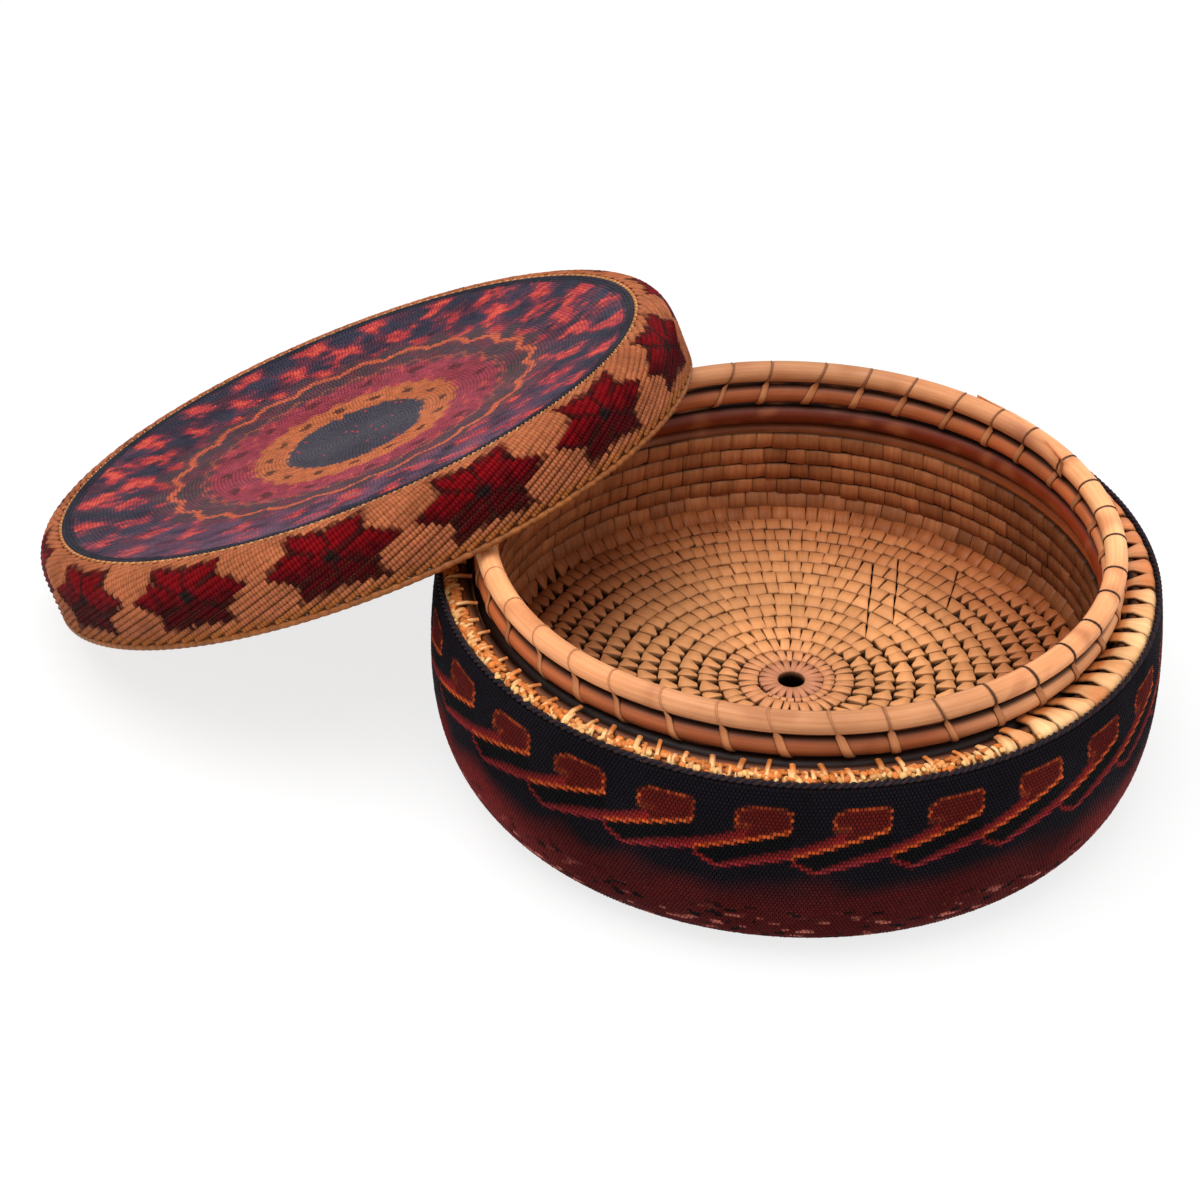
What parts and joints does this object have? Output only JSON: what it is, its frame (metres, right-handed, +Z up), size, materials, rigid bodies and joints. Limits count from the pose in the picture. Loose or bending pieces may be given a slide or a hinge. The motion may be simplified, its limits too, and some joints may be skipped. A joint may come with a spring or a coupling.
{
  "type": "beaded round box",
  "caption": "Round box of coiled cane with a raised collar and a beadwork skin; its beaded lid lies against the rim and lifts away.",
  "frame": {"origin": "centre of the flat underside of the box, on the surface that it stands on", "axes": "+Z up along the box's axis; +X to the right and +Y away from the viewer as pictured"},
  "size_m": [0.3483, 0.2919, 0.1099],
  "materials": {
    "cane_base": "plain cane, hidden",
    "cane_floor": "stitched cane coil",
    "cane_inside": "aged stitched cane coil",
    "cane_rim": "smooth peeled cane",
    "cane_ledge": "split cane stitches",
    "backing_cloth": "dark woven cloth",
    "wall_beads": "opaque seed beads",
    "foot_beads": "opaque seed beads",
    "lid_side_beads": "opaque seed beads",
    "lid_top_beads": "opaque seed beads",
    "edge_cord": "twisted cord",
    "hem_cord": "bound cane edge"
  },
  "bodies": {
    "box": {"outer_base": "cane_base", "outer_wall": "cane_base", "foot_hoops": "cane_base", "floor_coil": "cane_floor", "wall_coil": "cane_inside", "collar_rod": "cane_rim", "lower_rim_rod": "cane_rim", "top_rim_rod": "cane_rim", "rim_ties": "cane_rim", "ledge_inner_rod": "cane_ledge", "ledge_outer_rod": "cane_ledge", "ledge_stitches": "cane_ledge", "wall_cloth": "backing_cloth", "wall_beadwork": "wall_beads", "foot_beadwork": "foot_beads", "wall_edge_cord": "edge_cord"},
    "lid": {"lid_lower_rod": "cane_rim", "lid_upper_rod": "cane_rim", "lid_shoulder_rod": "cane_rim", "lid_ties": "cane_rim", "lid_disc": "cane_floor", "lid_cloth": "backing_cloth", "lid_side_beadwork": "lid_side_beads", "lid_top_beadwork": "lid_top_beads", "lid_border_cord": "edge_cord", "lid_hem_cord": "hem_cord"}
  },
  "joints": [
    {"name": "lid_lift", "type": "slide", "parent": "box", "child": "lid", "axis": [0, 0, 1], "range_m": [0, 0.15]}
  ]
}
